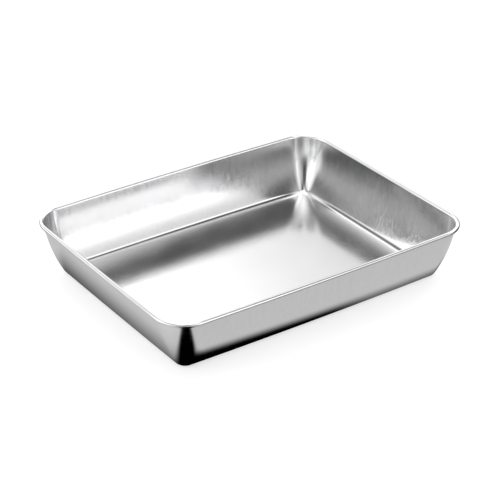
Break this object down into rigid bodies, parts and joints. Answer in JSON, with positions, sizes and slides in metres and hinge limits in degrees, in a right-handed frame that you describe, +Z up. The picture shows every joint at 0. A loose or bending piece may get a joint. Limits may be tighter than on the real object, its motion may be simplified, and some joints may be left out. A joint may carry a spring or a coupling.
{
  "type": "instrument tray",
  "caption": "Rectangular drawn stainless steel instrument tray with rounded corners, leaning walls, a flat floor and a rolled round rim.",
  "frame": {"origin": "middle of the underside of the floor, on the surface that the tray rests on", "axes": "+X along the long side, +Y along the short side, +Z up out of the open top"},
  "size_m": [0.33, 0.255, 0.0565],
  "materials": {
    "pan_steel": "satin, finely brushed, nearly mirror on the rim and radii",
    "wire_steel": "bright drawn wire"
  },
  "bodies": {
    "root": {"tray_pan": "pan_steel", "rim_wire": "wire_steel"}
  },
  "joints": []
}
